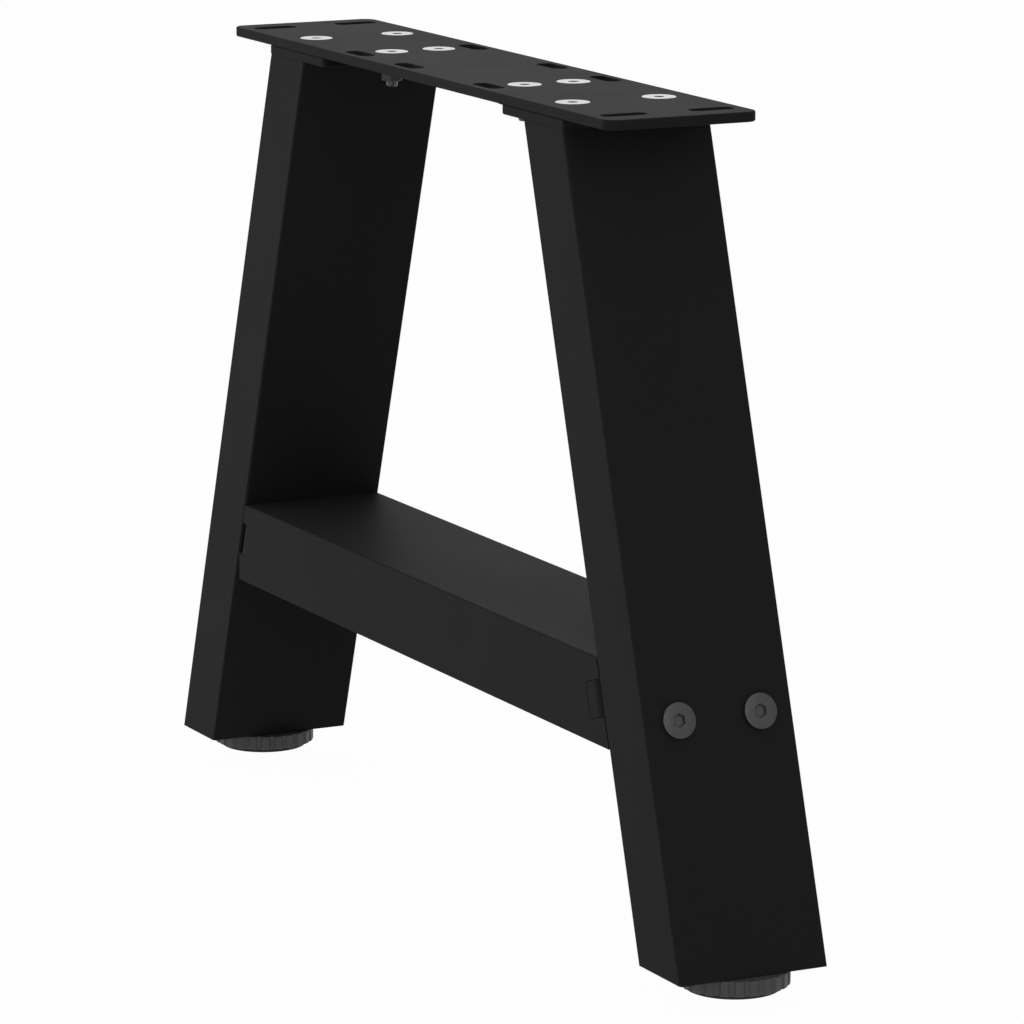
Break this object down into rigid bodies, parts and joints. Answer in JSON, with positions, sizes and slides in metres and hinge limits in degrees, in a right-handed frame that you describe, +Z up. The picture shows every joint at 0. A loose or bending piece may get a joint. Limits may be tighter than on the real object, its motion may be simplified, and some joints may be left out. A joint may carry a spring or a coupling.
{
  "type": "trestle table leg",
  "caption": "Low A-shaped steel trestle leg: leaning rectangular tubes, bolted top plate with fixing slots, folded crossbar and screw-in levelling feet.",
  "frame": {"origin": "on the floor, under the middle of the trestle", "axes": "+X along the top plate towards the right leg, +Y across the trestle to the back, +Z up"},
  "size_m": [0.593, 0.082, 0.41],
  "materials": {
    "black_powder_coat": "fine matt black powder coat",
    "zinc_plated_steel": "bright zinc plate",
    "blackened_steel": "dark grey oxide, satin",
    "foot_nylon": "moulded, matt",
    "pad_rubber": "matt"
  },
  "bodies": {
    "trestle": {"crossbar": "black_powder_coat", "left_bar_bolt_back": "blackened_steel", "left_bar_bolt_front": "blackened_steel", "left_bar_bracket": "black_powder_coat", "left_bar_nut_back": "blackened_steel", "left_bar_nut_front": "blackened_steel", "left_foot_nut": "zinc_plated_steel", "left_foot_plate": "black_powder_coat", "left_head_flange": "black_powder_coat", "left_leg_tube": "black_powder_coat", "left_plate_bolt_inner_back": "zinc_plated_steel", "left_plate_bolt_inner_front": "zinc_plated_steel", "left_plate_bolt_outer_back": "zinc_plated_steel", "left_plate_bolt_outer_front": "zinc_plated_steel", "left_plate_nut_inner_back": "blackened_steel", "left_plate_nut_inner_front": "blackened_steel", "left_plate_nut_outer_back": "blackened_steel", "left_plate_nut_outer_front": "blackened_steel", "right_bar_bolt_back": "blackened_steel", "right_bar_bolt_front": "blackened_steel", "right_bar_bracket": "black_powder_coat", "right_bar_nut_back": "blackened_steel", "right_bar_nut_front": "blackened_steel", "right_foot_nut": "zinc_plated_steel", "right_foot_plate": "black_powder_coat", "right_head_flange": "black_powder_coat", "right_leg_tube": "black_powder_coat", "right_plate_bolt_inner_back": "zinc_plated_steel", "right_plate_bolt_inner_front": "zinc_plated_steel", "right_plate_bolt_outer_back": "zinc_plated_steel", "right_plate_bolt_outer_front": "zinc_plated_steel", "right_plate_nut_inner_back": "blackened_steel", "right_plate_nut_inner_front": "blackened_steel", "right_plate_nut_outer_back": "blackened_steel", "right_plate_nut_outer_front": "blackened_steel", "top_plate": "black_powder_coat"},
    "left_foot": {"left_foot_knob": "foot_nylon", "left_foot_stud": "zinc_plated_steel", "left_foot_pad": "pad_rubber"},
    "right_foot": {"right_foot_knob": "foot_nylon", "right_foot_stud": "zinc_plated_steel", "right_foot_pad": "pad_rubber"}
  },
  "joints": [
    {"name": "left_foot_travel", "type": "slide", "parent": "trestle", "child": "left_foot", "axis": [0, 0, -1], "range_m": [0, 0.01]},
    {"name": "right_foot_travel", "type": "slide", "parent": "trestle", "child": "right_foot", "axis": [0, 0, -1], "range_m": [0, 0.01]}
  ]
}
